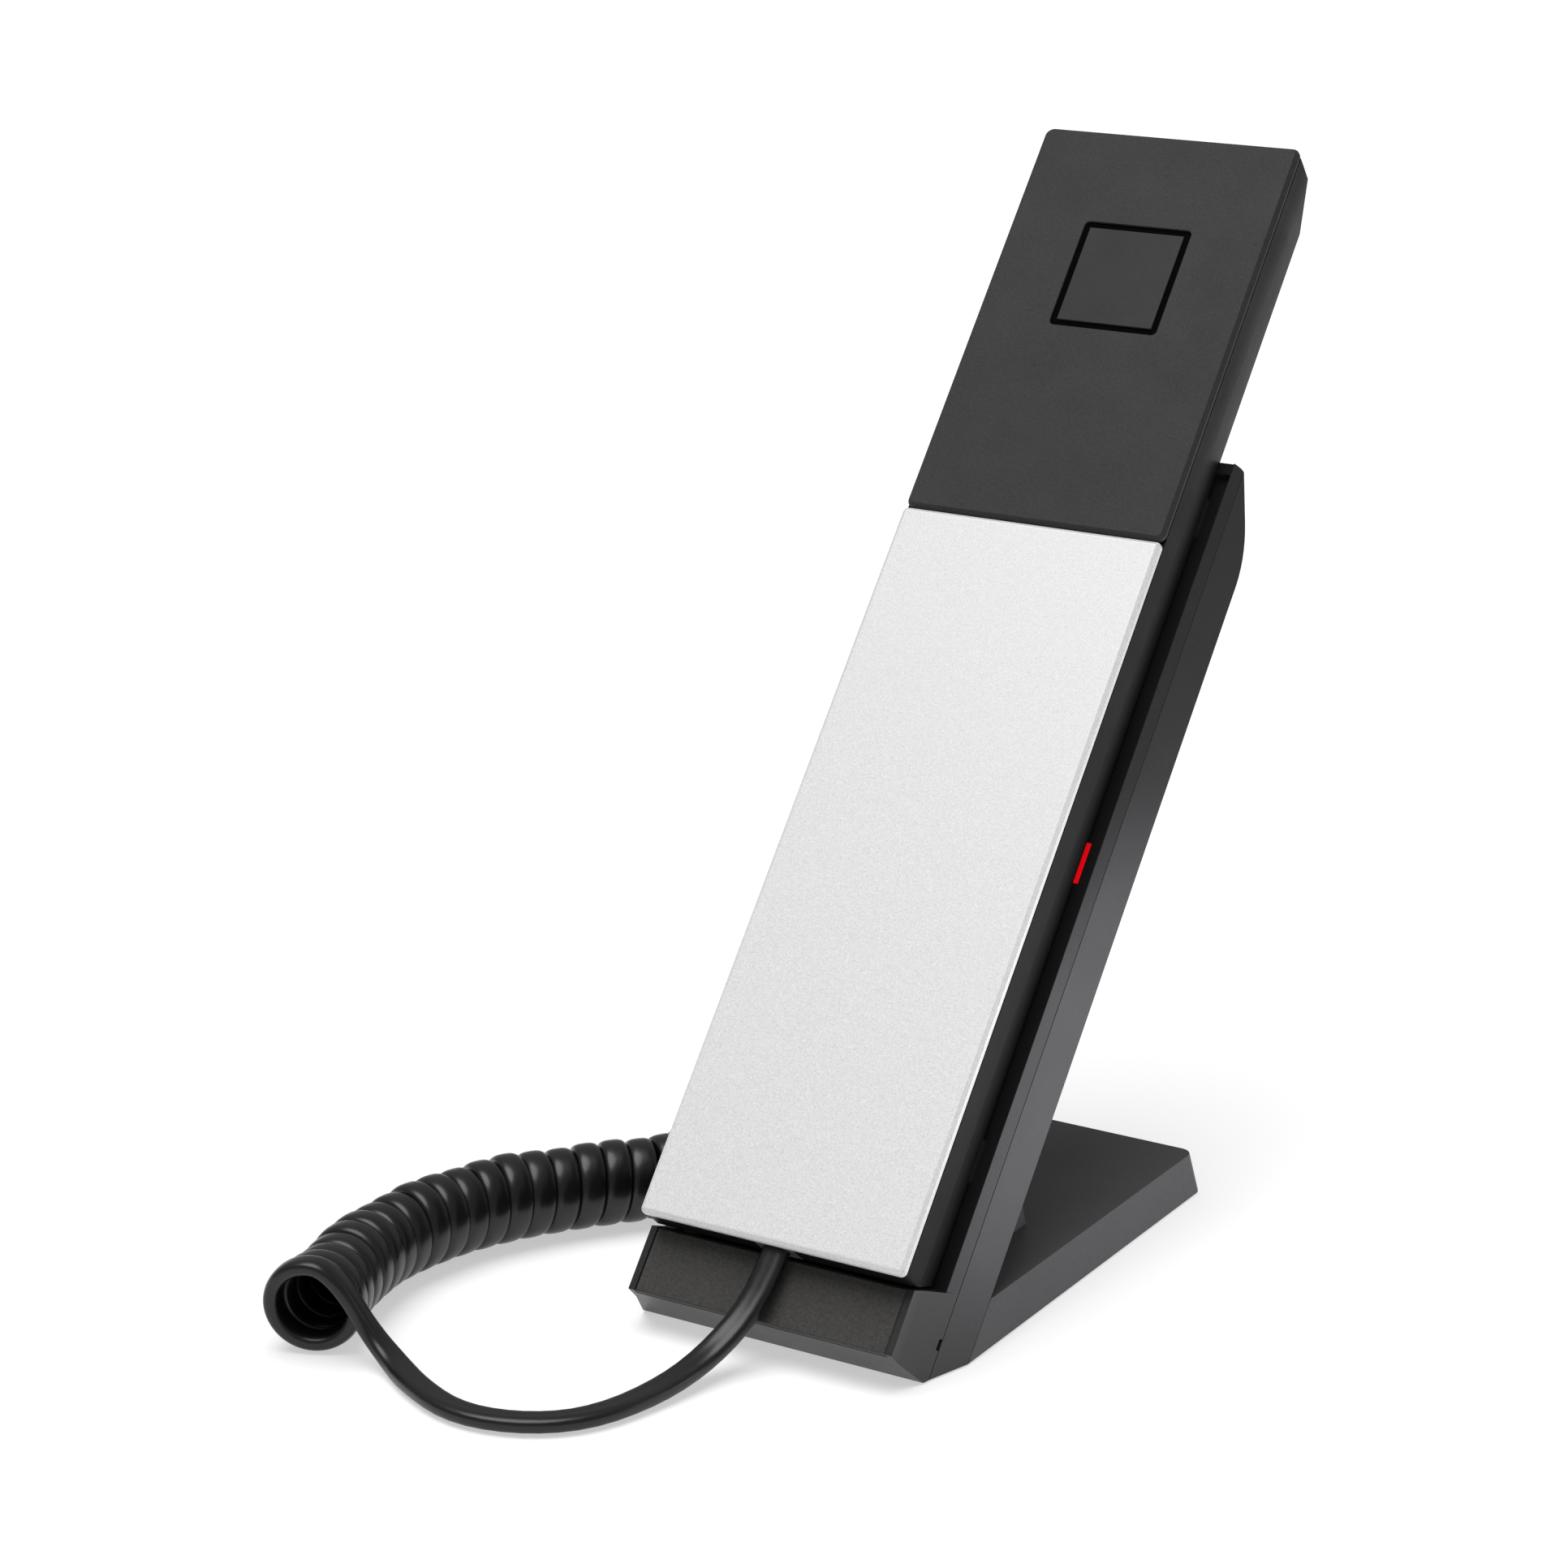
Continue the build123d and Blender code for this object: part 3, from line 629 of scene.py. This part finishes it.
class PHONE_OT_inner(bpy.types.Operator):
    """Give the small and hidden pieces their finishes"""
    bl_idname = "phone.inner"
    bl_label = "Small pieces"

    def execute(self, context):
        steel = zinc_steel()
        board = glass_epoxy()
        plug = clear_polycarbonate()
        dark = moulded_abs("Glass-filled nylon", "#1B1B1C", "#222223", 0.55, 0.4, 0.03)
        feet = rubber("Moulded rubber", "#1A1A1A", "#232323", 0.85)
        mat = rubber("Grey silicone", "#6E7073", "#7A7C7F", 0.7)
        keys = moulded_abs("Matt ABS, keys", "#2A2A2B", "#242425", 0.4, 0.25, 0.01)
        lamp = lit_lens(context.scene.phone_studio.lamp_glow)
        finish = {
            "handset_weight": steel, "foot_ballast": steel, "handset_screws": steel, "foot_screws": steel,
            "hook_leaf_spring": steel, "handset_board": board, "base_board": board, "handset_plug": plug,
            "base_plug": plug, "earpiece_speaker": dark, "microphone": dark, "hook_switch": dark,
            "handset_jack": dark, "cord_jack": dark, "line_jack": dark, "hook_plunger": dark,
            "foot_base_plate": dark, "rest_pads": feet, "rear_rubber_feet": feet, "front_rubber_feet": feet,
            "keypad_mat": mat, "message_lens": lamp, "message_led": lamp,
        }
        for node, material in finish.items():
            node_finish(node, material)
        for node in frame["nodes"]:
            if node.startswith("key_"):
                finished_copy(node, 0.3, keys)
        return {"FINISHED"}


CAMERA_PLACE = (0.31496, -0.59921, 0.28132)
CAMERA_TURN = (30.59, 16.42, 0.80)  # degrees: bearing, downward tilt, roll
CAMERA_LENS = 92.26


class PHONE_OT_stage(bpy.types.Operator):
    """Set the white table, overhead light, side panel, room light and camera"""
    bl_idname = "phone.stage"
    bl_label = "Studio"

    def execute(self, context):
        scene = context.scene
        studio = scene.phone_studio
        bpy.ops.object.select_all(action="DESELECT")
        bpy.ops.mesh.primitive_plane_add(size=16, location=(0, 0, 0))
        table = context.active_object
        table.name = "table_top"
        dress(table, white_table())
        world = bpy.data.worlds.new("Room")
        scene.world = world
        world.use_nodes = True
        world.node_tree.nodes["Background"].inputs["Color"].default_value = linear("#FFFFFF")
        world.node_tree.nodes["Background"].inputs["Strength"].default_value = studio.sky

        def lamp(name, kind, place, aim, energy):
            light = bpy.data.lights.new(name, kind)
            light.energy = energy
            holder = bpy.data.objects.new(name, light)
            context.collection.objects.link(holder)
            holder.location = place
            holder.rotation_euler = (Vector(aim) - Vector(place)).to_track_quat("-Z", "Y").to_euler()
            holder.visible_camera = False
            return light

        overhead = lamp("Overhead light", "SUN", (-0.15, -0.2, 1.2), (0, 0, 0), studio.key)
        overhead.angle = math.radians(48)
        side = lamp("Low side panel", "AREA", (0.124, 0.025, 0.038), (0.029, -0.005, 0.038), studio.side)
        side.shape = "RECTANGLE"
        side.size = 0.1
        side.size_y = 0.074
        side.color = (0.95, 0.94, 1.0)

        camera = bpy.data.cameras.new("View")
        camera.sensor_width = 36.0
        camera.lens = CAMERA_LENS
        camera.clip_start = 0.01
        camera.clip_end = 50
        holder = bpy.data.objects.new("View", camera)
        context.collection.objects.link(holder)
        bearing, drop, tilt = (math.radians(angle) for angle in CAMERA_TURN)
        forward = Vector((
            -math.sin(bearing) * math.cos(drop), math.cos(bearing) * math.cos(drop), -math.sin(drop)))
        right = forward.cross(Vector((0, 0, 1))).normalized()
        top = right.cross(forward)
        turned_right = right * math.cos(tilt) + top * math.sin(tilt)
        turned_top = top * math.cos(tilt) - right * math.sin(tilt)
        pose = Matrix((turned_right, turned_top, -forward)).transposed().to_4x4()
        pose.translation = CAMERA_PLACE
        holder.matrix_world = pose
        scene.camera = holder
        scene.view_settings.view_transform = "Standard"
        return {"FINISHED"}


class PHONE_PT_panel(bpy.types.Panel):
    """Sizes, colours and steps of the telephone"""
    bl_label = "Telephone"
    bl_idname = "PHONE_PT_panel"
    bl_space_type = "VIEW_3D"
    bl_region_type = "UI"
    bl_category = "Telephone"

    def draw(self, context):
        layout = self.layout
        for name in ("phone_cord", "phone_colours", "phone_studio"):
            group = getattr(context.scene, name)
            box = layout.box()
            for prop in group.bl_rna.properties:
                if prop.identifier not in {"rna_type", "name"}:
                    box.prop(group, prop.identifier)
        for operator in STEPS:
            layout.operator(operator.bl_idname)


STEPS = (PHONE_OT_stage, PHONE_OT_cord, PHONE_OT_handset, PHONE_OT_stand, PHONE_OT_inner)
GROUPS = {"phone_cord": PhoneCordSizes, "phone_colours": PhoneColours, "phone_studio": PhoneStudio}


def register():
    for item in (*GROUPS.values(), *STEPS, PHONE_PT_panel):
        bpy.utils.register_class(item)
    for name, group in GROUPS.items():
        setattr(bpy.types.Scene, name, bpy.props.PointerProperty(type=group))


def unregister():
    for name in GROUPS:
        delattr(bpy.types.Scene, name)
    for item in reversed((*GROUPS.values(), *STEPS, PHONE_PT_panel)):
        bpy.utils.unregister_class(item)


def main():
    register()
    for operator in STEPS:
        group, name = operator.bl_idname.split(".")
        getattr(getattr(bpy.ops, group), name)()


if __name__ == "__main__":
    main()
